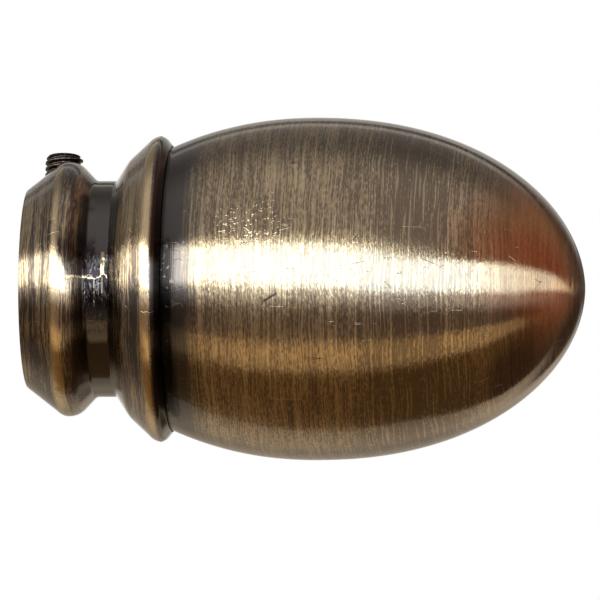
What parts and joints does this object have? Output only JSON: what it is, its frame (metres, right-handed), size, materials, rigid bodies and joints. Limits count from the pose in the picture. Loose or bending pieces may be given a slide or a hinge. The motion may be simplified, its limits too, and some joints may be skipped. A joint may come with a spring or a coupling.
{
  "type": "curtain pole finial",
  "caption": "Egg-shaped curtain pole finial on a turned collar with a blind socket for a 25 mm pole, clamped by a grub screw.",
  "frame": {"origin": "centre of the pole socket's mouth", "axes": "+X along the pole's axis from the socket's mouth to the tip of the egg, +Z out along the grub screw"},
  "size_m": [0.0734, 0.045, 0.045],
  "materials": {
    "antique_brass_collar": "blackened brass plate, brushed round, lacquered",
    "antique_brass_head": "blackened brass plate, brushed round, lacquered",
    "blackened_steel": "black oxide",
    "plain_brass": "as pressed",
    "zinc_steel": "bright zinc plate"
  },
  "bodies": {
    "finial": {"collar": "antique_brass_collar", "head_shell": "antique_brass_head", "base_disc": "plain_brass", "weld_nut": "zinc_steel", "fixing_screw": "zinc_steel", "spring_washer": "zinc_steel"},
    "grub_screw": {"grub_screw": "blackened_steel"}
  },
  "joints": [
    {"name": "grub_screw_travel", "type": "slide", "parent": "finial", "child": "grub_screw", "axis": [0, 0, 1], "range_m": [-0.0026, 0.002]}
  ]
}
